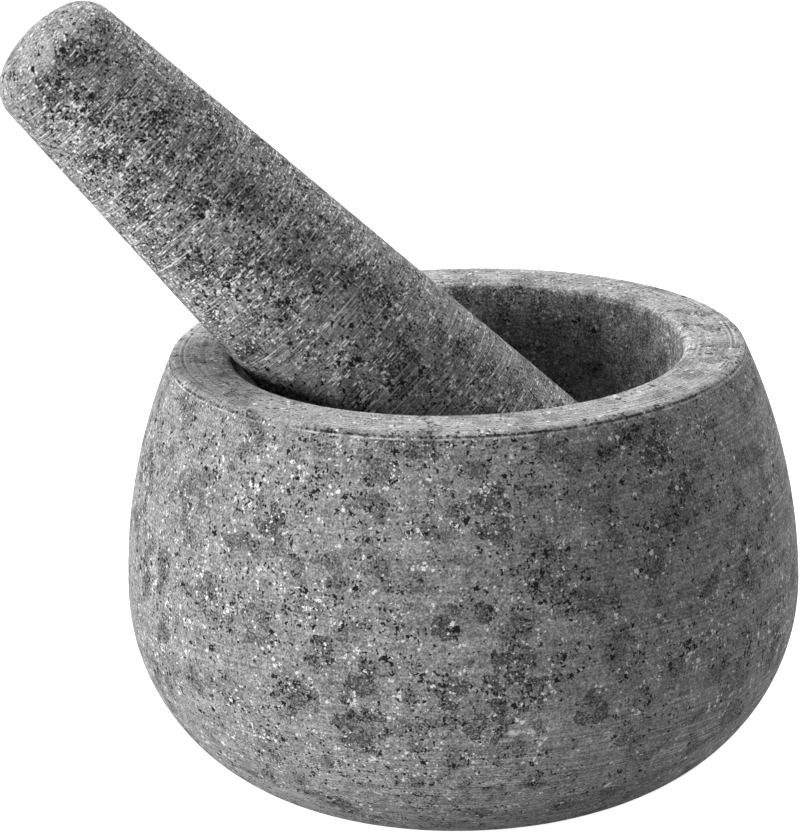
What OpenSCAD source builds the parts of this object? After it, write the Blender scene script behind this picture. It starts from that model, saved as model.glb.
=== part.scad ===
// Thick-walled grinding bowl turned from stone, with a loose tapered stone pestle leaning in it.
// Millimetres, +Z up. The origin is the centre of the bowl's flat base, on the turning axis.
// The pestle leans towards -X: its round grinding end sits in the cavity and its side on the lip.

/* [Bowl outside] */
// Greatest diameter of the bowl, at the belly
bowl_d = 140; // [124:1:156]
// Height from the base to the flat rim
bowl_h = 90; // [82:1:110]
// Height of the widest ring above the base
belly_h = 39.5; // [34:0.5:46]
// Outer diameter at the rim, before its edge is rounded
rim_d = 118; // [108:0.5:130]
// Diameter of the flat base
base_d = 88; // [76:0.5:100]
// Radius of the rim's rounded outer edge
rim_round = 1.6; // [1:0.1:4]

/* [Bowl cavity] */
// Diameter of the mouth at the rim, before its edge is rounded
mouth_d = 93; // [86:0.5:100]
// Depth from the rim to the lowest point of the cavity
cavity_depth = 65; // [56:0.5:74]
// Slope of the cavity wall from upright, opening towards the mouth
wall_slope = 2; // [1:0.25:5]
// Radius of the mouth's rounded edge, which the pestle leans on
lip_round = 2; // [1:0.1:4]

/* [Pestle] */
// Length of the pestle from end to end
pestle_l = 168; // [150:1:190]
// Diameter of the round grinding end
grind_d = 48; // [42:0.5:54]
// Diameter of the handle where its end begins to round over
handle_d = 29.5; // [24:0.5:34]
// Radius of the handle end's rounded edge
handle_round = 8.5; // [5:0.25:11]
// Radius of the shallow dome that closes the handle end
crown_r = 26; // [20:1:60]

/* [Pestle at rest] */
// Lean of the pestle from upright
lean = 43.4; // [38:0.1:50]
// Gap left between the pestle and the stone it rests on
rest_gap = 0.25; // [0.1:0.05:0.5]

/* [Hidden] */
$fn = 128;

bowl_r = bowl_d / 2;
mouth_r = mouth_d / 2;
grind_r = grind_d / 2;
// rounded faces stand proud of their neighbours by this much, so that they cross and don't just touch
blend = 0.005;
// how far a cut runs on past the face that it opens
through = 1;

// Radius of an arc that leaves the widest ring upright and ends rise away from it and inset inwards.
function flank_radius(rise, inset) = (rise * rise + inset * inset) / (2 * inset);

upper_r = flank_radius(bowl_h - belly_h, (bowl_d - rim_d) / 2);
lower_r = flank_radius(belly_h, (bowl_d - base_d) / 2);
upper_c = [bowl_r - upper_r, belly_h];
lower_c = [bowl_r - lower_r, belly_h];

// The rim's rounded edge touches the flat rim and, on the line through both centres, the upper flank.
rim_c_z = bowl_h - rim_round;
rim_c_x = upper_c[0] + sqrt(pow(upper_r - rim_round, 2) - pow(rim_c_z - belly_h, 2));
rim_meet_z = belly_h + (rim_c_z - belly_h) * upper_r / (upper_r - rim_round);

// The cavity is a ball that the sloping wall touches, wall_slope below the ball's centre.
cavity_r = (mouth_r * cos(wall_slope) - cavity_depth * sin(wall_slope)) / (1 - sin(wall_slope));
cavity_c = [0, bowl_h - cavity_depth + cavity_r];
wall_foot = cavity_c + cavity_r * [cos(wall_slope), -sin(wall_slope)];

// The mouth's rounded edge touches the flat rim and the wall.
lip_c = [mouth_r - lip_round * tan(wall_slope) + lip_round / cos(wall_slope), bowl_h - lip_round];
wall_head = lip_c - lip_round * [cos(wall_slope), -sin(wall_slope)];

// The pestle's outline runs up its own axis from the grinding end at 0. The crown touches the rounded edge
// on the line through both centres, and the side touches that edge and the round grinding end.
ball_c = [0, grind_r];
crown_c = [0, pestle_l - crown_r];
edge_x = handle_d / 2 - handle_round;
edge_c = [edge_x, crown_c[1] + sqrt(pow(crown_r - handle_round, 2) - pow(edge_x, 2))];
crown_meet = crown_c + (edge_c - crown_c) * crown_r / (crown_r - handle_round);
edge_rise = edge_c[1] - grind_r;
taper = asin((grind_r - handle_round) / norm([edge_x, edge_rise])) - atan2(edge_x, edge_rise);
side_out = [cos(taper), sin(taper)];

// At rest the pestle's side faces the lip on the -X side along rest_n, rest_gap away from it, and its
// grinding end lies rest_gap inside the ball of the cavity.
rest_n = [-cos(lean - taper), -sin(lean - taper)];
rest_across = rest_n * ([-lip_c[0], lip_c[1]] - cavity_c) - (grind_r + lip_round + rest_gap);
rest_along = sqrt(pow(cavity_r - grind_r - rest_gap, 2) - pow(rest_across, 2));
ball_rest = cavity_c + rest_n * rest_across + [-rest_n[1], rest_n[0]] * rest_along;

module bowl_outline() {
    intersection() {
        square([bowl_d, bowl_h]);
        union() {
            square([lower_c[0], belly_h]);
            translate(lower_c) circle(lower_r);
            intersection() {
                translate(upper_c) circle(upper_r - blend);
                translate([0, belly_h]) square([bowl_d, rim_meet_z - belly_h]);
            }
            translate([0, belly_h]) square([rim_c_x, bowl_h]);
            translate([rim_c_x, rim_c_z]) circle(rim_round + blend);
        }
    }
}

module cavity_outline() {
    translate(cavity_c) circle(cavity_r);
    polygon([
        [0, wall_foot[1]],
        wall_foot - [blend, 0],
        wall_head,
        lip_c,
        [lip_c[0], bowl_h + through],
        [0, bowl_h + through]
    ]);
}

module lip_outline() {
    intersection() {
        square([bowl_d, bowl_h]);
        translate(lip_c) circle(lip_round + blend);
    }
}

module pestle_outline() {
    intersection() {
        translate([0, -grind_r]) square([grind_d, pestle_l + grind_d]);
        union() {
            translate(ball_c) circle(grind_r + blend);
            translate(edge_c) circle(handle_round + blend);
            polygon([
                ball_c,
                ball_c + grind_r * side_out,
                edge_c + handle_round * side_out,
                edge_c,
                crown_meet,
                [0, crown_meet[1]]
            ]);
            intersection() {
                translate(crown_c) circle(crown_r);
                translate([0, edge_c[1]]) square([crown_meet[0], crown_r]);
            }
        }
    }
}

module bowl() {
    color("gray")
        rotate_extrude() {
            difference() {
                bowl_outline();
                cavity_outline();
            }
            lip_outline();
        }
}

module pestle() {
    color("dimgray")
        translate([ball_rest[0], 0, ball_rest[1]])
            rotate([0, -lean, 0])
                translate([0, 0, -grind_r])
                    rotate_extrude() pestle_outline();
}

bowl();
pestle();
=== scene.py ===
import math
import random

import bmesh
import bpy
from bpy.props import FloatProperty, FloatVectorProperty, IntProperty, PointerProperty
from mathutils import Euler, Matrix, Vector, kdtree, noise


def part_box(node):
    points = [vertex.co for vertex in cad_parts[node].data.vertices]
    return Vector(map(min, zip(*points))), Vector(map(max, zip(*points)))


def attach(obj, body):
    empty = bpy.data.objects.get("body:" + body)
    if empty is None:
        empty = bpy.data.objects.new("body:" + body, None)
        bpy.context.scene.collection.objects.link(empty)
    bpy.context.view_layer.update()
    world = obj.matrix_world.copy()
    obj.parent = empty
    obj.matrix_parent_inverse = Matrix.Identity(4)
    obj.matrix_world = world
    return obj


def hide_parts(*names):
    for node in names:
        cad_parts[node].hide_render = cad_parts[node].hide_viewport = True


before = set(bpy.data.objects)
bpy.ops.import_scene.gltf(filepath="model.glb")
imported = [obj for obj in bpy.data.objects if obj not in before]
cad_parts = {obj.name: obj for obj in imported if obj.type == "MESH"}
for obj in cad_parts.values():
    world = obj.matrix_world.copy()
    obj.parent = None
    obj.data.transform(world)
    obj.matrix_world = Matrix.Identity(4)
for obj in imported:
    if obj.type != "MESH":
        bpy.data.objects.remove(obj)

bl_info = {
    "name": "Stone mortar and pestle",
    "version": (1, 0, 0),
    "blender": (4, 5, 0),
    "location": "3D View > Sidebar > Mortar",
    "description": "Turns a granite mortar and its loose pestle, and sets up a plain studio round them",
    "category": "Object",
}

MM = 0.001
QUARTER = math.pi / 2
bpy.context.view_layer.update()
BOWL_LOW, BOWL_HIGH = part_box("bowl")
PESTLE_LOW, PESTLE_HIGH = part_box("pestle")

# Lengths of the steps that the two sections are drawn in
BASE_STEP = 2.6 * MM
FLANK_STEP = 0.9 * MM
RIM_EDGE_STEP = 0.2 * MM
RIM_STEP = 0.7 * MM
LIP_STEP = 0.3 * MM
WALL_STEP = 1.2 * MM
CAVITY_STEP = 1.7 * MM
BALL_STEP = 0.65 * MM
TAPER_STEP = 0.6 * MM
HANDLE_EDGE_STEP = 0.5 * MM
CROWN_STEP = 0.6 * MM
# A section is spun through one wedge of this many, and the wedge is then repeated
WEDGES = 16
# Vertices closer together than this become one
WELD = 0.001 * MM

# Size and depth of each kind of unevenness that grinding leaves
BROAD_HOLLOWS = (16 * MM, 0.06 * MM)
SMALL_HOLLOWS = (2.5 * MM, 0.03 * MM)
LATHE_GROOVES = (2.2 * MM, 0.03 * MM)
# Chips in the bowl's two edges: how many, and their least and greatest size
RIM_CHIPS = (60, 0.6 * MM, 1.3 * MM)
LIP_CHIPS = (40, 0.6 * MM, 1.2 * MM)
# How far out from the mouth the lip's chips lie, as a share of its rounding
LIP_CHIP_PLACE = 0.3
# A chip's depth as a share of its size, the mean and the swing of that depth inside the chip, and the
# length over which it swings
CHIP_DEPTH = 0.2
CHIP_MEAN = 0.75
CHIP_SWING = 0.5
CHIP_GRAIN = 0.7 * MM

# Dark patches on the front of the bowl: degrees round from the right by way of the front, height and
# size in millimetres, and strength
BOWL_PATCHES = (
    (25, 62, 2.6, 0.8),
    (24, 79, 2.2, 0.4),
    (40, 30, 2.2, 0.6),
    (47, 72, 3.0, 1.0),
    (52, 83, 3.3, 1.0),
    (53, 69, 2.2, 0.8),
    (66, 56, 3.3, 0.9),
    (69, 34, 2.8, 1.0),
    (73, 86, 2.5, 0.8),
    (77, 62, 2.5, 0.7),
    (82, 42, 4.6, 1.0),
    (84, 75, 3.9, 1.0),
    (86, 33, 3.7, 1.0),
    (87, 57, 2.2, 1.0),
    (93, 54, 2.4, 1.0),
    (93, 39, 2.8, 1.0),
    (98, 87, 2.7, 1.0),
    (105, 84, 3.2, 0.8),
    (107, 41, 2.3, 1.0),
    (108, 32, 3.9, 1.0),
    (112, 62, 3.3, 0.8),
    (114, 46, 2.7, 1.0),
    (119, 36, 3.3, 0.9),
    (125, 71, 2.7, 1.0),
    (126, 52, 2.8, 0.8),
    (138, 54, 2.4, 0.8),
    (144, 63, 2.2, 0.7),
    (146, 72, 3.4, 0.8),
    (151, 42, 2.0, 0.9),
)
# Random patches on the back of the bowl: how many, and the range of each of the same four values
BACK_PATCHES = 36
BACK_RANGES = ((185, 355), (12, 86), (1.8, 3.6), (0.6, 1.0))
# Dark patches on the front of the pestle: millimetres up its axis from the middle of the grinding end,
# degrees round to the right, size in millimetres, and strength
PESTLE_PATCHES = (
    (136, 25, 2.6, 1.0),
    (135, -5, 2.4, 0.9),
    (124, 10, 2.6, 0.9),
    (115, 32, 2.8, 1.0),
    (110, 15, 2.2, 0.9),
    (104, -28, 2.4, 1.0),
    (97, 13, 2.4, 0.9),
    (93, 40, 2.4, 0.9),
    (88, -22, 3.0, 1.0),
    (81, 10, 3.2, 0.9),
    (75, 45, 2.2, 0.9),
    (73, 20, 2.2, 0.9),
    (67, -40, 2.2, 1.0),
    (57, 45, 3.2, 0.9),
    (44, 20, 4.0, 1.0),
)
# Vertex layers that carry the dark patches to the stone's materials
PATCH_DEPTH = "patch_depth"
PATCH_STRENGTH = "patch_strength"

# Step from one random pattern of the stone to the next
SEED_STEP = Vector((31.7, -17.3, 23.9))
# Sizes in millimetres of the stone's random patterns
FINE = 0.42
TEAR = 0.7
GRAIN = 1.0
CLOUD = 3.0
KNOT = 3.0
BLOTCH = 6.6
CROWD = 12.0
# Sizes in millimetres of the cells that hold one dot each
SMALL_SPECK = 0.75
LARGE_SPECK = 1.4
SMALL_FLECK = 0.7
LARGE_FLECK = 1.1
# Dots, as shares of a cell: least radius of the large ones and of the dashes, spread of all radii, and
# width of the soft edge
LARGE_LEAST = 0.22
DASH_LEAST = 0.3
RADIUS_SPREAD = 0.36
SOFT_EDGE = 0.07
# Width of the step between cells that are drawn to hold a dot and cells that aren't
SOFT_DRAW = 0.04
# Share of a cover that large dots have, and how much less again, for specks and for flecks
LARGE_SHARE = 0.4
SPECKS_LESS = 0.05
FLECKS_LESS = 0.12
# How much closer specks lie in a blotch and flecks round one, and how much of the crowding flecks follow
SPECKS_IN_BLOTCH = 0.22
FLECKS_AT_FRINGE = 0.12
FLECK_CROWDING = 0.6
# Level that makes a blotch where there is no cover, its fall to full cover, and the blotches' strength
BLOTCH_LEVEL = 0.75
BLOTCH_FALL = 0.3
BLOTCH_STRENGTH = 0.75
# Millimetres round and across of the marks that run round a piece
DASH_WIDTH = 0.36
SCRATCH_LENGTH = 14.0
SCRATCH_WIDTH = 0.22
# Depths in millimetres of specks, of scored lines and of the fold under the rim
SPECK_DEPTH = 0.18
SCORE_DEPTH = 0.06
FOLD_DEPTH = 0.15
# Least roughness of the ground mass, its spread from grain to grain and its fall on flecks
ROUGH_LEAST = 0.72
ROUGH_SPREAD = 0.2
FLECK_SHINE = 0.2
# Specular level of the shader, low for matt stone
SPECULAR = 0.15

# Zones of the bowl, each from where it begins to where it is full, in millimetres: depth below the rim,
# distance out from the mouth, height above the cavity's floor, height, distance in from the rim's edge
RIM_BELOW = (1.1, 0.5)
LIP_BELOW = (0.8, 0.3)
LIP_OUT = (1.7, 1.1)
HOLLOW_OUT = (3.0, 1.0)
HOLLOW_OVER_FLOOR = (-4.0, -1.0)
LOW_HEIGHT = (44.0, 14.0)
FOLD_IN = (1.5, 0.5)
# Sides of the bowl in degrees round from the right by way of the front, and the zone that each has, from
# where it begins to where it is full, as cosines of the angle to that side
# The front right is given a darker tone, painted shade on the side the lamps light least, and fewer
# specks and flecks
PLAIN_SHADED_SIDE = 38
PLAIN_SHADED_ZONE = (0.7, 0.95)
# On the cavity's right, a little to the back, the painted shade reaches further down the wall
CAVITY_SHADE_SIDE = -15
CAVITY_SHADE_ZONE = (0.8, 0.97)
SCUFF_SIDE = 79.5
SCUFF_ZONE = (0.9962, 0.9986)
# Depths below the rim at which the painted shade in the cavity begins and is full, and the extra depth it
# reaches on its darker side
DARK_BEGINS = 1.0
DARK_FULL = 12.0
CAVITY_SHADE_EXTRA = 26.0
# Soft bands in millimetres, each a middle, a half width and the half width of its full part: the fold
# and the worn line are measured down from the rim and the scuff up from the base
FOLD_BAND = (0.95, 0.28, 0.12)
WORN_BAND = (1.4, 0.24, 0.08)
SCUFF_BAND = (30.4, 1.1, 0.2)
# Half widths of the rings that turning left on the rim
RING_WIDTHS = (0.2, 0.06)
# Sizes in millimetres of the patterns that break those marks
BREAK_SIZE = 1.1
FADE_SIZE = 14.0
# Strengths of the marks
FOLD_STRENGTH = 0.8
WORN_STRENGTH = 0.6
SCUFF_STRENGTH = 0.7

# Zones of the pestle: millimetres below its top end, and heights above the middle of its grinding end
CROWN_BELOW = (12.0, 3.0)
# Low down the pestle's tone is darker: painted shade where it dips into the bowl
FOOT_HEIGHT = (95.0, 40.0)

# Half the width of the floor in metres, and its gap under the bowl
FLOOR_REACH = 1.5
FLOOR_GAP = 0.05 * MM
# Lamps: degrees round from the right by way of the back, degrees up, and size in metres
KEY_LAMP = (210, 6, 0.8)
TOP_LAMP = (150, 64, 1.2)
EDGE_LAMP = (48, 48, 0.7)
LAMP_DISTANCE = 1.4
# Point near the bowl's middle that the lamps face and that the camera's place is measured from, and the
# point that the camera faces
STUDIO_MIDDLE = Vector((0, 0, 45.5)) * MM
CAMERA_AIM = Vector((-12.23, 0, 75.06)) * MM
# Height of the camera's sensor in millimetres
SENSOR_HEIGHT = 36


def length(name, description, default):
    """A size in metres that the panel shows in the scene's units."""
    return FloatProperty(
        name=name, description=description, default=default, min=0, precision=5, unit="LENGTH"
    )


def angle(name, description, degrees):
    """An angle that the panel shows in degrees."""
    return FloatProperty(
        name=name, description=description, default=math.radians(degrees), subtype="ANGLE"
    )


def share(name, description, default):
    """A plain number from nothing to one."""
    return FloatProperty(
        name=name, description=description, default=default, min=0, max=1, subtype="FACTOR"
    )


def grey(name, description, level):
    """A neutral colour of one linear level."""
    return FloatVectorProperty(
        name=name, description=description, default=(level,) * 3, size=3, min=0, max=1, subtype="COLOR"
    )


def watts(name, description, default):
    """The power of a lamp."""
    return FloatProperty(name=name, description=description, default=default, min=0, unit="POWER")


class BowlSizes(bpy.types.PropertyGroup):
    """Driving sizes of the bowl"""

    diameter: length("Belly diameter", "Greatest diameter of the bowl", BOWL_HIGH.x - BOWL_LOW.x)
    height: length("Height", "Height from the base to the flat rim", BOWL_HIGH.z - BOWL_LOW.z)
    belly_height: length("Belly height", "Height of the widest ring above the base", 0.0395)
    rim_diameter: length("Rim diameter", "Outer diameter at the rim, before its edge is rounded", 0.118)
    base_diameter: length("Base diameter", "Diameter of the flat base", 0.088)
    rim_round: length("Rim rounding", "Radius of the rim's rounded outer edge", 0.0016)
    mouth_diameter: length("Mouth diameter", "Diameter of the mouth, before its edge is rounded", 0.093)
    cavity_depth: length("Cavity depth", "Depth from the rim to the lowest point of the cavity", 0.065)
    wall_slope: angle("Wall slope", "Slope of the cavity wall from upright", 2)
    lip_round: length("Lip rounding", "Radius of the mouth's rounded edge", 0.002)
    segments: IntProperty(name="Segments", description="Steps round the bowl", default=432, min=32)
    wear_seed: IntProperty(
        name="Wear seed", description="Draws other chips, and other patches on the back", default=7
    )


class PestleSizes(bpy.types.PropertyGroup):
    """Driving sizes of the pestle"""

    length: length("Length", "Length from end to end", 0.168)
    grinding_diameter: length("Grinding end", "Diameter of the round grinding end", 0.048)
    handle_diameter: length("Handle", "Diameter of the handle where its end rounds over", 0.0295)
    handle_round: length("Handle rounding", "Radius of the handle end's rounded edge", 0.0085)
    crown_radius: length("Crown", "Radius of the shallow dome that closes the handle end", 0.026)
    lean: angle("Lean", "Lean of the pestle from upright", 43.4)
    segments: IntProperty(name="Segments", description="Steps round the pestle", default=288, min=32)


class StoneColours(bpy.types.PropertyGroup):
    """Colours of the granite's grains, and of the shade painted deep in the bowl"""

    dim: grey("Dim grains", "Darkest grains of the ground mass", 0.09)
    pale: grey("Pale grains", "Palest grains of the ground mass", 0.95)
    blotch: grey("Blotch tint", "Tint that patches of dark mineral give the stone", 0.28)
    speck: grey("Specks", "Small black grains and open pits", 0.012)
    fleck: grey("Flecks", "Small white crystals", 0.98)
    # Laid on the rim as wear, and again along the mouth's edge as a painted highlight
    worn: grey("Worn rim", "Pale bloom that wear gives the rim", 0.05)
    # Painted shade, not the stone's colour: it darkens the cavity below the rim
    cavity: grey("Cavity shade", "Shade painted deep inside the bowl", 0.28)


class StudioSettings(bpy.types.PropertyGroup):
    """Floor, lamps and camera"""

    floor: grey("Floor", "Colour of the floor", 0.68)
    floor_lift: share("Floor lift", "Light that the floor adds to what the camera sees of it", 1.0)
    key: watts("Key lamp", "Power of the large lamp on the left", 18.5)
    top: watts("Top lamp", "Power of the lamp above and behind", 17.8)
    edge: watts("Edge lamp", "Power of the lamp behind on the right", 9.5)
    camera_distance: length("Camera distance", "Distance from the camera to the bowl's middle", 1.12)
    camera_elevation: angle("Camera elevation", "Angle of the camera above the bowl's middle", 18.88)
    camera_roll: angle("Camera roll", "Turn of the camera about its line of sight", -1.66)
    camera_lens: FloatProperty(
        name="Lens", description="Focal length in millimetres", default=232.1, min=1
    )


def flank_radius(rise, inset):
    """Radius of an arc that leaves the widest ring upright and ends rise away and inset inwards."""
    return (rise * rise + inset * inset) / (2 * inset)


def line_to(bm, vert, end, step):
    """Extrudes an outline's last vertex in a straight row of steps and returns the new last one."""
    count = max(1, round((end - vert.co).length / step))
    stride = (end - vert.co) / count
    for _ in range(count):
        vert = bmesh.ops.extrude_vert_indiv(bm, verts=[vert])["verts"][0]
        bmesh.ops.translate(bm, verts=[vert], vec=stride)
    return vert


def arc_to(bm, vert, centre, turn, step):
    """Spins an outline's last vertex about a centre, in its plane, and returns the new last one."""
    count = max(2, round(abs(turn) * (vert.co - centre).length / step))
    spun = bmesh.ops.spin(bm, geom=[vert], cent=centre, axis=(0, -1, 0), angle=turn, steps=count)
    return next(part for part in spun["geom_last"] if isinstance(part, bmesh.types.BMVert))


def section_point(across, up):
    """A point of a half section, which lies in the plane of X and Z."""
    return Vector((across, 0, up))


def bowl_section(bm, sizes):
    """Draws half of the bowl's section, from the base's middle round to the cavity's middle."""
    belly_radius = sizes.diameter / 2
    upper_radius = flank_radius(sizes.height - sizes.belly_height, belly_radius - sizes.rim_diameter / 2)
    lower_radius = flank_radius(sizes.belly_height, belly_radius - sizes.base_diameter / 2)
    upper_centre = section_point(belly_radius - upper_radius, sizes.belly_height)
    lower_centre = section_point(belly_radius - lower_radius, sizes.belly_height)
    lower_turn = math.asin(sizes.belly_height / lower_radius)
    rim_rise = sizes.height - sizes.rim_round - sizes.belly_height
    flank_turn = math.asin(rim_rise / (upper_radius - sizes.rim_round))
    rim_centre = upper_centre + section_point(
        (upper_radius - sizes.rim_round) * math.cos(flank_turn), rim_rise
    )
    slope = sizes.wall_slope
    wall_out = section_point(math.cos(slope), -math.sin(slope))
    mouth_radius = sizes.mouth_diameter / 2
    cavity_radius = mouth_radius * math.cos(slope) - sizes.cavity_depth * math.sin(slope)
    cavity_radius /= 1 - math.sin(slope)
    cavity_centre = section_point(0, sizes.height - sizes.cavity_depth + cavity_radius)
    lip_shift = sizes.lip_round * (1 / math.cos(slope) - math.tan(slope))
    lip_centre = section_point(mouth_radius + lip_shift, sizes.height - sizes.lip_round)

    end = bm.verts.new((0, 0, 0))
    end = line_to(bm, end, section_point(sizes.base_diameter / 2, 0), BASE_STEP)
    end = arc_to(bm, end, lower_centre, lower_turn, FLANK_STEP)
    end = arc_to(bm, end, upper_centre, flank_turn, FLANK_STEP)
    end = arc_to(bm, end, rim_centre, QUARTER - flank_turn, RIM_EDGE_STEP)
    end = line_to(bm, end, lip_centre + section_point(0, sizes.lip_round), RIM_STEP)
    end = arc_to(bm, end, lip_centre, QUARTER - slope, LIP_STEP)
    end = line_to(bm, end, cavity_centre + wall_out * cavity_radius, WALL_STEP)
    end = arc_to(bm, end, cavity_centre, slope - QUARTER, CAVITY_STEP)
    end.co.x = 0


def pestle_section(bm, sizes):
    """Draws half of the pestle's section up its own axis, from the grinding end to the crown."""
    grinding_radius = sizes.grinding_diameter / 2
    ball_centre = section_point(0, grinding_radius)
    crown_centre = section_point(0, sizes.length - sizes.crown_radius)
    edge_across = sizes.handle_diameter / 2 - sizes.handle_round
    crown_turn = math.acos(edge_across / (sizes.crown_radius - sizes.handle_round))
    edge_up = crown_centre.z + (sizes.crown_radius - sizes.handle_round) * math.sin(crown_turn)
    edge_centre = section_point(edge_across, edge_up)
    rise = edge_up - grinding_radius
    taper = math.asin((grinding_radius - sizes.handle_round) / math.hypot(edge_across, rise))
    taper -= math.atan2(edge_across, rise)
    side_out = section_point(math.cos(taper), math.sin(taper))

    end = bm.verts.new((0, 0, 0))
    end = arc_to(bm, end, ball_centre, QUARTER + taper, BALL_STEP)
    end = line_to(bm, end, edge_centre + side_out * sizes.handle_round, TAPER_STEP)
    end = arc_to(bm, end, edge_centre, crown_turn - taper, HANDLE_EDGE_STEP)
    end = arc_to(bm, end, crown_centre, QUARTER - crown_turn, CROWN_STEP)
    end.co.x = 0


def turn_section(bm, segments):
    """Spins a half section through one wedge, repeats the wedge all round Z and closes the shape."""
    wedge = math.tau / WEDGES
    upright = {"cent": (0, 0, 0), "axis": (0, 0, 1)}
    bmesh.ops.spin(
        bm, geom=bm.verts[:] + bm.edges[:], angle=wedge, steps=segments // WEDGES, **upright
    )
    bmesh.ops.spin(
        bm,
        geom=bm.verts[:] + bm.edges[:] + bm.faces[:],
        angle=math.tau - wedge,
        steps=WEDGES - 1,
        use_duplicate=True,
        **upright,
    )
    bmesh.ops.remove_doubles(bm, verts=bm.verts, dist=WELD)
    bmesh.ops.recalc_face_normals(bm, faces=bm.faces)


def hollows(place, size, depth):
    """Depth of soft hollows of about a given size, from nothing to the given depth."""
    return depth * (0.5 + 0.5 * noise.noise(place / size))


def grind(bm):
    """Sinks the surface a little, unevenly, as grinding on a lathe leaves it."""
    bm.normal_update()
    sunk = []
    for vert in bm.verts:
        place = vert.co
        ring = Vector((0, 0, place.z + math.hypot(place.x, place.y)))
        depth = hollows(place, *BROAD_HOLLOWS)
        depth += hollows(place, *SMALL_HOLLOWS)
        depth += hollows(ring, *LATHE_GROOVES)
        sunk.append(place - vert.normal * depth)
    for vert, place in zip(bm.verts, sunk):
        vert.co = place


def ring_chips(draw, radius, height, count, least, most):
    """Draws chips at random places round an edge, each a place and a size."""
    chips = []
    for _ in range(count):
        turn = draw.uniform(0, math.tau)
        place = Vector((radius * math.cos(turn), radius * math.sin(turn), height))
        chips.append((place, draw.uniform(least, most)))
    return chips


def vertex_finder(bm):
    """A tree that finds the vertices round a place."""
    bm.verts.ensure_lookup_table()
    near = kdtree.KDTree(len(bm.verts))
    for vert in bm.verts:
        near.insert(vert.co, vert.index)
    near.balance()
    return near


def chip_edges(bm, chips):
    """Breaks small chips out of an edge."""
    bm.normal_update()
    near = vertex_finder(bm)
    for place, size in chips:
        for co, index, distance in near.find_range(place, size):
            vert = bm.verts[index]
            ragged = CHIP_MEAN + CHIP_SWING * noise.noise(co / CHIP_GRAIN)
            fall = 1 - (distance / size) ** 2
            vert.co -= vert.normal * size * CHIP_DEPTH * fall * ragged


def stain(bm, patches):
    """Notes on each vertex how deep in a dark patch it lies, and how strong that patch is.

    The depth is one in a patch's middle and nothing at twice its size.
    """
    depths = bm.verts.layers.float.new(PATCH_DEPTH)
    strengths = bm.verts.layers.float.new(PATCH_STRENGTH)
    near = vertex_finder(bm)
    for place, size, strength in patches:
        reach = 2 * size
        for _, index, distance in near.find_range(place, reach):
            vert = bm.verts[index]
            depth = 1 - distance / reach
            if depth > vert[depths]:
                vert[depths] = depth
                vert[strengths] = strength


def bowl_patches(sizes, draw):
    """Places, sizes and strengths of the bowl's dark patches, with random ones on the back."""
    everywhere = list(BOWL_PATCHES)
    for _ in range(BACK_PATCHES):
        everywhere.append(tuple(draw.uniform(*span) for span in BACK_RANGES))
    patches = []
    for turn, up, size, strength in everywhere:
        rise = up * MM - sizes.belly_height
        reach = sizes.height - sizes.belly_height
        edge = sizes.rim_diameter
        if rise < 0:
            reach = sizes.belly_height
            edge = sizes.base_diameter
        radius = flank_radius(reach, (sizes.diameter - edge) / 2)
        around = sizes.diameter / 2 - radius + math.sqrt(radius * radius - rise * rise)
        out = Vector((math.cos(math.radians(turn)), -math.sin(math.radians(turn)), 0))
        patches.append((out * around + Vector((0, 0, up * MM)), size * MM, strength))
    return patches


def pestle_patches(sizes):
    """Places, sizes and strengths of the pestle's dark patches, repeated on its far side."""
    grinding_radius = sizes.grinding_diameter / 2
    handle_radius = sizes.handle_diameter / 2
    patches = []
    for up, turn, size, strength in PESTLE_PATCHES:
        along = up * MM / (sizes.length - grinding_radius)
        around = grinding_radius + (handle_radius - grinding_radius) * along
        out = Vector((math.sin(math.radians(turn)), -math.cos(math.radians(turn)), 0)) * around
        lift = Vector((0, 0, grinding_radius + up * MM))
        patches.append((lift + out, size * MM, strength))
        patches.append((lift - out, size * MM, strength))
    return patches


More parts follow.
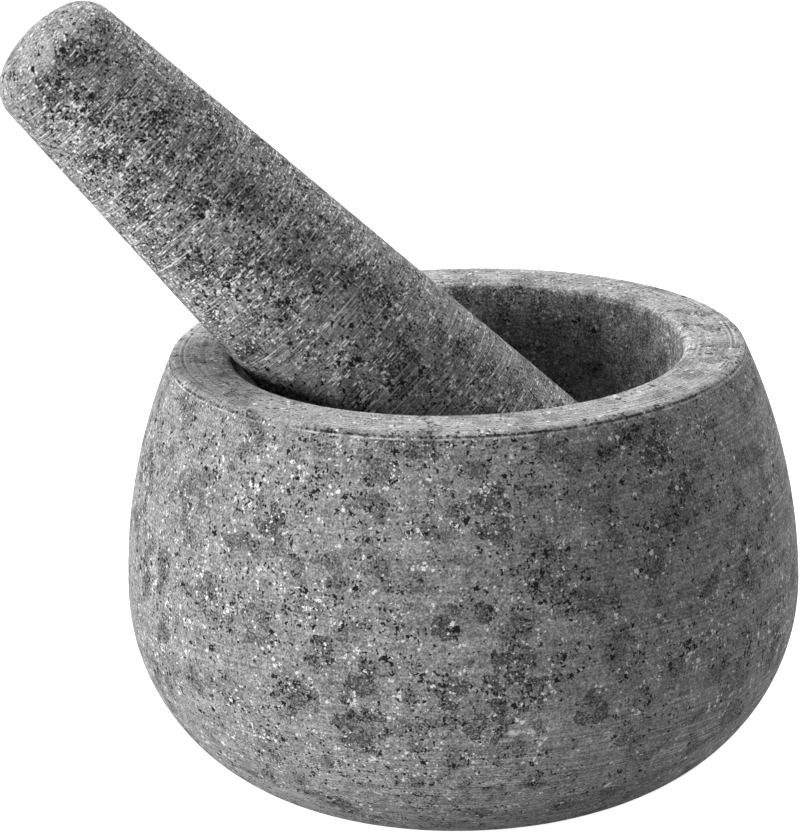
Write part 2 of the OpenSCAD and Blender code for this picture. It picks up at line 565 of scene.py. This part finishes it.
class Wiring:
    """Places nodes in a shader tree and joins their sockets."""

    def __init__(self, tree):
        self.tree = tree

    def join(self, value, socket):
        """Gives a socket its value, which is another node's output or a constant."""
        if isinstance(value, bpy.types.NodeSocket):
            self.tree.links.new(value, socket)
        else:
            socket.default_value = value

    def add(self, kind, sockets=None, **settings):
        """Adds one node with its settings and the values of its sockets."""
        made = self.tree.nodes.new(kind)
        for name, value in settings.items():
            setattr(made, name, value)
        for name, value in (sockets or {}).items():
            self.join(value, made.inputs[name])
        return made

    def math(self, operation, *values):
        """Joins numbers by one operation."""
        return self.add("ShaderNodeMath", dict(enumerate(values)), operation=operation).outputs[0]

    def total(self, first, *others):
        """Adds up numbers."""
        for other in others:
            first = self.math("ADD", first, other)
        return first

    def product(self, first, *others):
        """Multiplies numbers."""
        for other in others:
            first = self.math("MULTIPLY", first, other)
        return first

    def swing(self, field, reach):
        """How far a field departs from one half, times a reach."""
        return self.product(self.math("SUBTRACT", field, 0.5), reach)

    def vector(self, operation, *values):
        """Joins vectors by one operation and returns the vector it gives."""
        made = self.add("ShaderNodeVectorMath", dict(enumerate(values)), operation=operation)
        return made.outputs["Vector"]

    def scale(self, vector, factor):
        """A vector times a number."""
        made = self.add("ShaderNodeVectorMath", {0: vector, "Scale": factor}, operation="SCALE")
        return made.outputs["Vector"]

    def cylinder(self, vector):
        """The level part of a place, its distance from the Z axis and its height."""
        split = self.add("ShaderNodeSeparateXYZ", {0: vector}).outputs
        level = self.add("ShaderNodeCombineXYZ", {"X": split["X"], "Y": split["Y"]}).outputs[0]
        around = self.add("ShaderNodeVectorMath", {0: level}, operation="LENGTH").outputs["Value"]
        return level, around, split["Z"]

    def side(self, level, degrees, low, high):
        """A mask of one side of a piece, from the cosines to that side at which it begins and is full.

        Degrees go round from the right by way of the front.
        """
        turn = math.radians(degrees)
        sockets = {0: self.vector("NORMALIZE", level), 1: (math.cos(turn), -math.sin(turn), 0)}
        cosine = self.add("ShaderNodeVectorMath", sockets, operation="DOT_PRODUCT").outputs["Value"]
        return self.mask(cosine, low, high)

    def field(self, vector, seed, size):
        """Smooth random values about one half, with features of a given size, others for each seed."""
        shifted = self.vector("ADD", vector, SEED_STEP * seed)
        sockets = {"Vector": shifted, "Scale": 1 / size, "Detail": 1.0}
        return self.add("ShaderNodeTexNoise", sockets).outputs

    def dots(self, vector, seed, size, cover, least, fray, fade=0.0):
        """A mask of scattered dots with frayed edges, some of them faded, from cells of a given size.

        Cover is the share of the cells that hold a dot, and least the least radius as a share of a cell.
        """
        shifted = self.vector("ADD", vector, SEED_STEP * seed)
        cell = self.add("ShaderNodeTexVoronoi", {"Vector": shifted, "Scale": 1 / size}).outputs
        draw = self.add("ShaderNodeSeparateColor", {0: cell["Color"]}).outputs
        chosen = self.mask(draw[0], cover, self.math("SUBTRACT", cover, SOFT_DRAW))
        radius = self.math("MULTIPLY_ADD", self.product(draw[1], draw[1]), RADIUS_SPREAD, least)
        reach = self.math("ADD", cell["Distance"], fray)
        dot = self.mask(reach, radius, self.math("SUBTRACT", radius, SOFT_EDGE))
        return self.product(chosen, self.math("MULTIPLY_ADD", draw[2], -fade, 1.0), dot)

    def mask(self, value, low, high):
        """A smooth mask from nothing at low to one at high, which falls where low is above high."""
        sockets = {"Value": value, "From Min": low, "From Max": high}
        made = self.add("ShaderNodeMapRange", sockets, interpolation_type="SMOOTHSTEP")
        return made.outputs["Result"]

    def band(self, value, middle, outer, inner):
        """A mask of a soft band: nothing further than outer from its middle, and one within inner."""
        return self.mask(self.math("ABSOLUTE", self.math("SUBTRACT", value, middle)), outer, inner)

    def blend(self, factor, first, second, kind="MIX"):
        """Blends two colours."""
        sockets = {0: factor, 6: first, 7: second}
        return self.add("ShaderNodeMix", sockets, data_type="RGBA", blend_type=kind).outputs[2]


def granite_tree():
    """The node group of the stone, with its sockets and nothing wired yet."""
    tree = bpy.data.node_groups.new("granite", "ShaderNodeTree")
    sockets = tree.interface
    sockets.new_socket("Vector", in_out="INPUT", socket_type="NodeSocketVector")
    for name in ("Dim", "Pale", "Blotch", "Speck", "Fleck"):
        sockets.new_socket(name, in_out="INPUT", socket_type="NodeSocketColor")
    for name, default in (
        ("Patch Depth", 0.0),
        ("Patch Strength", 0.0),
        ("Outward", 1.0),
        ("Tone", 0.5),
        ("Contrast", 1.0),
        ("Blotch Cover", 0.5),
        ("Speck Cover", 0.2),
        ("Fleck Cover", 0.2),
        ("Dot Size", 0.22),
        ("Dash Cover", 0.0),
        ("Clusters", 1.0),
        ("Lines", 0.3),
        ("Line Length", 24.0),
        ("Line Width", 0.42),
        ("Dash Length", 4.0),
        ("Scratches", 0.0),
        ("Girth", 60.0),
    ):
        made = sockets.new_socket(name, in_out="INPUT", socket_type="NodeSocketFloat")
        made.default_value = default
    sockets.new_socket("Color", in_out="OUTPUT", socket_type="NodeSocketColor")
    sockets.new_socket("Roughness", in_out="OUTPUT", socket_type="NodeSocketFloat")
    sockets.new_socket("Height", in_out="OUTPUT", socket_type="NodeSocketFloat")
    return tree


def granite_group():
    """The stone of both pieces: grains, dark blotches, black specks, white flecks and turning lines.

    Vector is in millimetres with Z up the piece's turning axis. A cover of specks, flecks or dashes is
    the share of cells that hold one before they gather, so below nothing they lie only where they gather.
    """
    tree = granite_tree()
    w = Wiring(tree)
    given = w.add("NodeGroupInput").outputs
    place = given["Vector"]
    level, around, up = w.cylinder(place)
    girth = w.scale(w.vector("NORMALIZE", level), given["Girth"])
    travel = w.math("MULTIPLY_ADD", around, given["Outward"], up)
    ragged = w.field(place, seed=1, size=TEAR)["Color"]

    def lathe(along, across):
        """Coordinates that stretch a pattern round the piece, along by across."""
        quick = w.add("ShaderNodeCombineXYZ", {"Z": w.math("DIVIDE", travel, across)}).outputs[0]
        return w.vector("ADD", w.scale(girth, w.math("DIVIDE", 1.0, along)), quick)

    def torn(reach):
        """Coordinates torn at random by up to a reach either way."""
        shove = w.vector("MULTIPLY_ADD", ragged, (2 * reach,) * 3, (-reach,) * 3)
        return w.vector("ADD", place, shove)

    fine = w.field(place, seed=2, size=FINE)[0]
    grain = w.field(place, seed=3, size=GRAIN)[0]
    cloud = w.field(torn(reach=0.8), seed=4, size=CLOUD)[0]
    crowd = w.field(place, seed=7, size=CROWD)[0]
    lines = w.field(lathe(given["Line Length"], given["Line Width"]), seed=5, size=1.0)[0]
    tone = w.total(w.swing(fine, reach=1.4), w.swing(grain, reach=0.7), w.swing(cloud, reach=0.55))
    scored_tone = w.product(w.swing(lines, reach=0.8), given["Lines"])
    tone = w.total(w.product(tone, given["Contrast"]), scored_tone, given["Tone"])
    tone = w.math("MAXIMUM", tone, 0.0)
    colour = w.blend(w.product(tone, tone), given["Dim"], given["Pale"])

    patch = w.field(place, seed=6, size=BLOTCH)[0]
    patch = w.total(patch, w.swing(cloud, reach=0.6), w.swing(grain, reach=0.3))
    bare = w.math("MULTIPLY_ADD", given["Blotch Cover"], -BLOTCH_FALL, BLOTCH_LEVEL)
    bare = w.total(bare, w.swing(crowd, reach=-0.25))
    blotch = w.product(w.mask(patch, bare, w.total(bare, 0.05)), BLOTCH_STRENGTH)
    inner = given["Patch Depth"]
    wander = w.total(w.swing(cloud, reach=4.4), w.swing(grain, reach=1.2))
    depth = w.math("MULTIPLY_ADD", wander, w.mask(inner, low=0.0, high=0.35), inner)
    named = w.product(w.mask(depth, low=0.45, high=0.52), given["Patch Strength"])
    blotch = w.math("MAXIMUM", blotch, named)
    fringe = w.math("SUBTRACT", w.mask(depth, low=0.1, high=0.35), blotch)
    stained = w.product(blotch, w.mask(fine, low=1.0, high=0.4))
    colour = w.blend(stained, colour, given["Blotch"], "MULTIPLY")

    nicked = torn(reach=0.4)
    knots = w.field(place, seed=15, size=KNOT)["Color"]
    speck_knots, fleck_knots, _ = w.add("ShaderNodeSeparateColor", {0: knots}).outputs
    flurry = w.swing(crowd, given["Clusters"])
    small = {"least": given["Dot Size"], "fray": w.swing(fine, reach=0.8)}
    large = {"least": LARGE_LEAST, "fray": w.swing(fine, reach=1.2)}

    cover = given["Speck Cover"]
    gather = w.math("MULTIPLY_ADD", blotch, SPECKS_IN_BLOTCH, flurry)
    few = w.total(w.math("MULTIPLY_ADD", cover, LARGE_SHARE, -SPECKS_LESS), gather)
    few = w.total(few, w.swing(speck_knots, reach=2.2))
    many = w.total(cover, gather, w.swing(speck_knots, reach=0.8))
    speck = w.dots(nicked, seed=8, size=SMALL_SPECK, cover=many, fade=0.1, **small)
    speck = w.math("MAXIMUM", speck, w.dots(nicked, seed=13, size=LARGE_SPECK, cover=few, **large))

    cover = given["Fleck Cover"]
    gather = w.math("MULTIPLY_ADD", fringe, FLECKS_AT_FRINGE, w.product(flurry, FLECK_CROWDING))
    few = w.total(w.math("MULTIPLY_ADD", cover, LARGE_SHARE, -FLECKS_LESS), gather)
    few = w.total(few, w.swing(fleck_knots, reach=2.8))
    many = w.total(cover, gather, w.swing(fleck_knots, reach=1.4))
    fleck = w.dots(nicked, seed=9, size=SMALL_FLECK, cover=many, fade=0.25, **small)
    clump = w.dots(nicked, seed=16, size=LARGE_FLECK, cover=few, fade=0.1, **large)
    fleck = w.math("MAXIMUM", fleck, clump)

    cover = given["Dash Cover"]
    dash = w.dots(
        lathe(given["Dash Length"], DASH_WIDTH),
        seed=10,
        size=1.0,
        cover=w.total(cover, flurry),
        least=DASH_LEAST,
        fray=small["fray"],
    )
    dash = w.product(dash, w.mask(cover, low=0.0, high=0.01))
    scratch = w.field(lathe(SCRATCH_LENGTH, SCRATCH_WIDTH), seed=12, size=1.0)[0]
    scratch = w.product(w.mask(scratch, low=0.65, high=0.7), given["Scratches"])
    scored = w.product(w.mask(lines, low=0.33, high=0.28), given["Scratches"])
    colour = w.blend(scored, colour, given["Speck"])
    for mark in (scratch, dash, fleck):
        colour = w.blend(mark, colour, given["Fleck"])
    colour = w.blend(speck, colour, given["Speck"])

    rough = w.math("MULTIPLY_ADD", grain, ROUGH_SPREAD, ROUGH_LEAST)
    rough = w.math("MULTIPLY_ADD", fleck, -FLECK_SHINE, rough)
    height = w.total(w.swing(fine, reach=0.05), w.swing(grain, reach=0.08))
    height = w.math("MULTIPLY_ADD", speck, -SPECK_DEPTH, height)
    height = w.math("MULTIPLY_ADD", w.swing(lines, reach=0.06), given["Lines"], height)
    height = w.math("MULTIPLY_ADD", scored, -SCORE_DEPTH, height)
    w.add("NodeGroupOutput", {"Color": colour, "Roughness": rough, "Height": height})
    return tree


def opaque(colour):
    """A colour with full alpha for a shader socket."""
    return (*colour, 1.0)


def start_stone(name, look, place, turn, traits):
    """Wires granite for one piece, whose turning axis starts at a place and is turned from upright."""
    material = bpy.data.materials.new(name)
    material.use_nodes = True
    material.node_tree.nodes.clear()
    w = Wiring(material.node_tree)
    coordinates = w.add("ShaderNodeTexCoord").outputs["Object"]
    own = w.add(
        "ShaderNodeMapping",
        {"Vector": coordinates, "Location": place, "Rotation": turn, "Scale": (MM,) * 3},
        vector_type="TEXTURE",
    ).outputs[0]
    sockets = {
        "Vector": own,
        "Patch Depth": w.add("ShaderNodeAttribute", attribute_name=PATCH_DEPTH).outputs["Fac"],
        "Patch Strength": w.add("ShaderNodeAttribute", attribute_name=PATCH_STRENGTH).outputs["Fac"],
        "Dim": opaque(look.dim),
        "Pale": opaque(look.pale),
        "Blotch": opaque(look.blotch),
        "Speck": opaque(look.speck),
        "Fleck": opaque(look.fleck),
        **traits,
    }
    granite = bpy.data.node_groups.get("granite") or granite_group()
    stone = w.add("ShaderNodeGroup", sockets, node_tree=granite)
    return material, w, own, stone


def end_stone(w, colour, roughness, height):
    """Joins the stone's colour, roughness and height to a matt shader."""
    bump = w.add("ShaderNodeBump", {"Height": height, "Distance": MM, "Strength": 1.0}).outputs[0]
    sockets = {
        "Base Color": colour,
        "Roughness": roughness,
        "Specular IOR Level": SPECULAR,
        "Normal": bump,
    }
    shader = w.add("ShaderNodeBsdfPrincipled", sockets).outputs[0]
    w.add("ShaderNodeOutputMaterial", {"Surface": shader})


def set_zones(w, stone, zones, traits):
    """Gives the stone each trait's plain value, and other values inside the masks of some zones."""
    for socket, plain, *others in traits:
        value = plain
        for zone, there in zip(zones, others):
            if there != plain:
                value = w.math("MULTIPLY_ADD", zone, there - plain, value)
        w.join(value, stone.inputs[socket])


def bowl_material(look, sizes):
    """Granite with a smooth pale rim, a scored fold round its outer edge and coarser lines low down."""
    traits = {"Girth": sizes.diameter / 2 / MM}
    material, w, own, stone = start_stone("bowl_granite", look, (0, 0, 0), (0, 0, 0), traits)
    level, around, up = w.cylinder(own)
    below = w.math("SUBTRACT", sizes.height / MM, up)
    out = w.math("SUBTRACT", around, sizes.mouth_diameter / 2 / MM)
    inset = w.math("SUBTRACT", sizes.rim_diameter / 2 / MM, around)
    over_floor = w.math("SUBTRACT", up, (sizes.height - sizes.cavity_depth) / MM)

    rim = w.mask(below, *RIM_BELOW)
    hollow = w.product(w.mask(out, *HOLLOW_OUT), w.mask(over_floor, *HOLLOW_OVER_FLOOR))
    low = w.mask(up, *LOW_HEIGHT)
    # Darker tone on the front right is painted shade; this zone also has fewer specks and flecks
    plain_shaded = w.side(level, PLAIN_SHADED_SIDE, *PLAIN_SHADED_ZONE)
    set_zones(
        w,
        stone,
        (rim, hollow, low, plain_shaded),
        (
            ("Tone", 0.52, 0.57, 0.52, 0.55, 0.5),
            ("Lines", 0.4, 0.7, 0.4, 0.85, 0.6),
            ("Contrast", 0.66, 0.62, 1.0, 0.6, 0.66),
            ("Blotch Cover", 0.54, 0.5, 0.58, 0.54, 0.56),
            ("Speck Cover", 0.25, 0.28, -0.1, 0.25, 0.17),
            ("Fleck Cover", 0.15, 0.02, 0.03, 0.15, 0.07),
        ),
    )
    # The mouth's edge is paled a second time: a painted highlight along the lip, on top of the rim's wear
    lip = w.product(w.mask(out, *LIP_OUT), w.mask(below, *LIP_BELOW))
    colour = stone.outputs["Color"]
    for wear_and_highlight_zone in (rim, lip):
        colour = w.blend(wear_and_highlight_zone, colour, opaque(look.worn), "SCREEN")
    # Painted shade in the cavity: darker from just below the rim down, and deeper on the right towards
    # the back
    cavity_shade_side = w.side(level, CAVITY_SHADE_SIDE, *CAVITY_SHADE_ZONE)
    dark = w.mask(below, DARK_BEGINS, w.math("MULTIPLY_ADD", cavity_shade_side, CAVITY_SHADE_EXTRA, DARK_FULL))
    colour = w.blend(w.product(hollow, dark), colour, opaque(look.cavity), "MULTIPLY")

    broken = w.field(own, seed=11, size=BREAK_SIZE)[0]
    slow = w.field(own, seed=14, size=FADE_SIZE)[0]
    edge = w.product(w.mask(inset, *FOLD_IN), w.mask(slow, low=0.25, high=0.5))
    fold = w.product(w.band(below, *FOLD_BAND), edge, w.mask(broken, low=0.42, high=0.54))
    worn = w.product(w.band(below, *WORN_BAND), edge, w.mask(broken, low=0.62, high=0.42))
    marks = [(fold, FOLD_STRENGTH, look.speck), (worn, WORN_STRENGTH, look.fleck)]
    turned = w.product(rim, w.mask(slow, low=0.3, high=0.6))
    # Millimetres in from the rim's edge, strength and colour
    rings = ((1.7, 0.4, look.fleck), (2.2, 0.5, look.speck), (2.7, 0.4, look.fleck))
    for middle, strength, tint in rings:
        marks.append((w.product(w.band(inset, middle, *RING_WIDTHS), turned), strength, tint))
    scuff = w.product(w.band(up, *SCUFF_BAND), w.side(level, SCUFF_SIDE, *SCUFF_ZONE))
    scuff = w.product(scuff, w.mask(broken, low=0.4, high=0.62))
    marks.append((scuff, SCUFF_STRENGTH, look.fleck))
    for mark, strength, tint in marks:
        colour = w.blend(w.product(mark, strength), colour, opaque(tint))
    height = w.math("MULTIPLY_ADD", fold, -FOLD_DEPTH, stone.outputs["Height"])
    end_stone(w, colour, stone.outputs["Roughness"], height)
    return material


def pestle_material(look, sizes, place, turn):
    """Granite scored round the taper by grinding, with a smoother crown and fewer dots low down, where a
    darker tone is painted shade from the bowl.
    """
    traits = {
        "Outward": -1.0,
        "Girth": sizes.handle_diameter / 2 / MM,
        "Clusters": 0.7,
        "Line Length": 6.0,
        "Line Width": 0.2,
        "Dash Length": 1.1,
        "Dot Size": 0.29,
    }
    material, w, own, stone = start_stone("pestle_granite", look, place, turn, traits)
    up = w.add("ShaderNodeSeparateXYZ", {0: own}).outputs["Z"]
    below = w.math("SUBTRACT", (sizes.length - sizes.grinding_diameter / 2) / MM, up)
    crown = w.mask(below, *CROWN_BELOW)
    # The foot zone also has a darker tone: painted shade where the pestle dips into the bowl
    foot = w.mask(up, *FOOT_HEIGHT)
    set_zones(
        w,
        stone,
        (crown, foot),
        (
            ("Tone", 0.468, 0.525, 0.45),
            ("Contrast", 0.88, 0.7, 0.8),
            ("Blotch Cover", 0.54, 0.44, 0.54),
            ("Speck Cover", 0.42, 0.28, 0.28),
            ("Fleck Cover", 0.13, 0.05, 0.04),
            ("Dash Cover", 0.27, 0.16, 0.12),
            ("Lines", 0.8, 0.6, 0.9),
            ("Scratches", 0.75, 0.2, 0.6),
        ),
    )
    end_stone(w, stone.outputs["Color"], stone.outputs["Roughness"], stone.outputs["Height"])
    return material


def finish_piece(name, bm, material, node):
    """Makes a mesh object that stands for a CAD node and moves with its body."""
    mesh = bpy.data.meshes.new(name)
    bm.to_mesh(mesh)
    bm.free()
    mesh.shade_smooth()
    mesh.materials.append(material)
    piece = bpy.data.objects.new(name, mesh)
    bpy.context.scene.collection.objects.link(piece)
    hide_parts(node)
    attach(piece, node)


class MORTAR_OT_bowl(bpy.types.Operator):
    """Turn the bowl from its section, grind its surface and chip its edges"""

    bl_idname = "mortar.bowl"
    bl_label = "Bowl"

    def execute(self, context):
        sizes = context.scene.mortar_bowl
        bm = bmesh.new()
        bowl_section(bm, sizes)
        turn_section(bm, sizes.segments)
        grind(bm)
        draw = random.Random(sizes.wear_seed)
        rim_radius = sizes.rim_diameter / 2
        lip_radius = sizes.mouth_diameter / 2 + sizes.lip_round * LIP_CHIP_PLACE
        chips = ring_chips(draw, rim_radius, sizes.height, *RIM_CHIPS)
        chips += ring_chips(draw, lip_radius, sizes.height, *LIP_CHIPS)
        chip_edges(bm, chips)
        stain(bm, bowl_patches(sizes, draw))
        material = bowl_material(context.scene.mortar_stone, sizes)
        finish_piece("turned_bowl", bm, material, "bowl")
        return {"FINISHED"}


class MORTAR_OT_pestle(bpy.types.Operator):
    """Turn the pestle from its section, grind its surface and lean it in the bowl"""

    bl_idname = "mortar.pestle"
    bl_label = "Pestle"

    def execute(self, context):
        sizes = context.scene.mortar_pestle
        grinding_radius = sizes.grinding_diameter / 2
        ball = Vector((PESTLE_HIGH.x - grinding_radius, 0, PESTLE_LOW.z + grinding_radius))
        turn = Euler((0, -sizes.lean, 0))
        bm = bmesh.new()
        pestle_section(bm, sizes)
        turn_section(bm, sizes.segments)
        grind(bm)
        stain(bm, pestle_patches(sizes))
        at_rest = Matrix.Translation(ball) @ turn.to_matrix().to_4x4()
        at_rest @= Matrix.Translation((0, 0, -grinding_radius))
        bmesh.ops.transform(bm, matrix=at_rest, verts=bm.verts)
        material = pestle_material(context.scene.mortar_stone, sizes, ball, turn)
        finish_piece("tapered_pestle", bm, material, "pestle")
        return {"FINISHED"}


def softbox(name, azimuth, elevation, size, power):
    """A square lamp that faces the bowl's middle from a direction given in degrees."""
    lamp = bpy.data.lights.new(name, "AREA")
    lamp.shape = "SQUARE"
    lamp.size = size
    lamp.energy = power
    holder = bpy.data.objects.new(name, lamp)
    out = Vector((math.cos(math.radians(azimuth)), math.sin(math.radians(azimuth)), 0))
    out *= math.cos(math.radians(elevation))
    out.z = math.sin(math.radians(elevation))
    holder.location = STUDIO_MIDDLE + out * LAMP_DISTANCE
    holder.rotation_euler = out.to_track_quat("Z", "Y").to_euler()
    bpy.context.scene.collection.objects.link(holder)


def seen_directly(w):
    """One for what the camera, a mirror or a glass shows, and nothing for light on matt stone."""
    path = w.add("ShaderNodeLightPath").outputs
    shown = w.math("MAXIMUM", path["Is Camera Ray"], path["Is Glossy Ray"])
    return w.math("MAXIMUM", shown, path["Is Transmission Ray"])


def lay_floor(studio):
    """A pale floor that throws light back at the stone and is plain white to the camera."""
    bm = bmesh.new()
    bmesh.ops.create_grid(bm, x_segments=2, y_segments=2, size=FLOOR_REACH)
    bmesh.ops.translate(bm, verts=bm.verts, vec=(0, 0, BOWL_LOW.z - FLOOR_GAP))
    mesh = bpy.data.meshes.new("floor")
    bm.to_mesh(mesh)
    bm.free()
    material = bpy.data.materials.new("floor_paper")
    material.use_nodes = True
    material.node_tree.nodes.clear()
    w = Wiring(material.node_tree)
    paper = w.add("ShaderNodeBsdfDiffuse", {"Color": opaque(studio.floor)}).outputs[0]
    lift = w.product(seen_directly(w), studio.floor_lift)
    glow = w.add("ShaderNodeEmission", {"Strength": lift}).outputs[0]
    both = w.add("ShaderNodeAddShader", {0: paper, 1: glow}).outputs[0]
    w.add("ShaderNodeOutputMaterial", {"Surface": both})
    mesh.materials.append(material)
    floor = bpy.data.objects.new("floor", mesh)
    bpy.context.scene.collection.objects.link(floor)


def light_studio(studio):
    """Three soft lamps, and a world that is white where it is seen and otherwise dark."""
    world = bpy.data.worlds.new("studio")
    world.use_nodes = True
    world.node_tree.nodes.clear()
    w = Wiring(world.node_tree)
    sky = w.add("ShaderNodeBackground", {"Color": (1, 1, 1, 1), "Strength": seen_directly(w)}).outputs[0]
    w.add("ShaderNodeOutputWorld", {"Surface": sky})
    bpy.context.scene.world = world
    softbox("key_lamp", *KEY_LAMP, studio.key)
    softbox("top_lamp", *TOP_LAMP, studio.top)
    softbox("edge_lamp", *EDGE_LAMP, studio.edge)


def place_camera(studio):
    """A long lens in front of the object and above it, turned a little to the pestle's side."""
    camera = bpy.data.cameras.new("camera")
    camera.sensor_fit = "VERTICAL"
    camera.sensor_height = SENSOR_HEIGHT
    camera.lens = studio.camera_lens
    holder = bpy.data.objects.new("camera", camera)
    elevation = studio.camera_elevation
    out = Vector((0, -math.cos(elevation), math.sin(elevation)))
    holder.location = STUDIO_MIDDLE + studio.camera_distance * out
    sight = (CAMERA_AIM - holder.location).to_track_quat("-Z", "Y").to_matrix()
    holder.rotation_euler = (sight @ Matrix.Rotation(studio.camera_roll, 3, "Z")).to_euler()
    bpy.context.scene.collection.objects.link(holder)
    bpy.context.scene.camera = holder


class MORTAR_OT_studio(bpy.types.Operator):
    """Lay the floor and set up the lamps and the camera"""

    bl_idname = "mortar.studio"
    bl_label = "Studio"

    def execute(self, context):
        studio = context.scene.mortar_studio
        context.scene.view_settings.view_transform = "Standard"
        lay_floor(studio)
        light_studio(studio)
        place_camera(studio)
        return {"FINISHED"}


class MORTAR_PT_panel(bpy.types.Panel):
    """Sizes, colours and build buttons in the sidebar"""

    bl_idname = "MORTAR_PT_panel"
    bl_label = "Mortar and pestle"
    bl_space_type = "VIEW_3D"
    bl_region_type = "UI"
    bl_category = "Mortar"

    def draw(self, context):
        for operator, settings in BUILD_ORDER:
            box = self.layout.box()
            box.operator(operator)
            group = getattr(context.scene, settings)
            for name in group.__annotations__:
                box.prop(group, name)
        box = self.layout.box()
        for name in StoneColours.__annotations__:
            box.prop(context.scene.mortar_stone, name)


BUILD_ORDER = (
    ("mortar.studio", "mortar_studio"),
    ("mortar.bowl", "mortar_bowl"),
    ("mortar.pestle", "mortar_pestle"),
)
SETTINGS = {
    "mortar_bowl": BowlSizes,
    "mortar_pestle": PestleSizes,
    "mortar_stone": StoneColours,
    "mortar_studio": StudioSettings,
}
CLASSES = (*SETTINGS.values(), MORTAR_OT_studio, MORTAR_OT_bowl, MORTAR_OT_pestle, MORTAR_PT_panel)


def register():
    """Registers the classes and hangs their settings on the scene."""
    for kind in CLASSES:
        bpy.utils.register_class(kind)
    for name, kind in SETTINGS.items():
        setattr(bpy.types.Scene, name, PointerProperty(type=kind))


def unregister():
    """Takes the settings and the classes away again."""
    for name in SETTINGS:
        delattr(bpy.types.Scene, name)
    for kind in reversed(CLASSES):
        bpy.utils.unregister_class(kind)


def main():
    """Builds the studio and both pieces."""
    register()
    bpy.ops.mortar.studio()
    bpy.ops.mortar.bowl()
    bpy.ops.mortar.pestle()


if __name__ == "__main__":
    main()
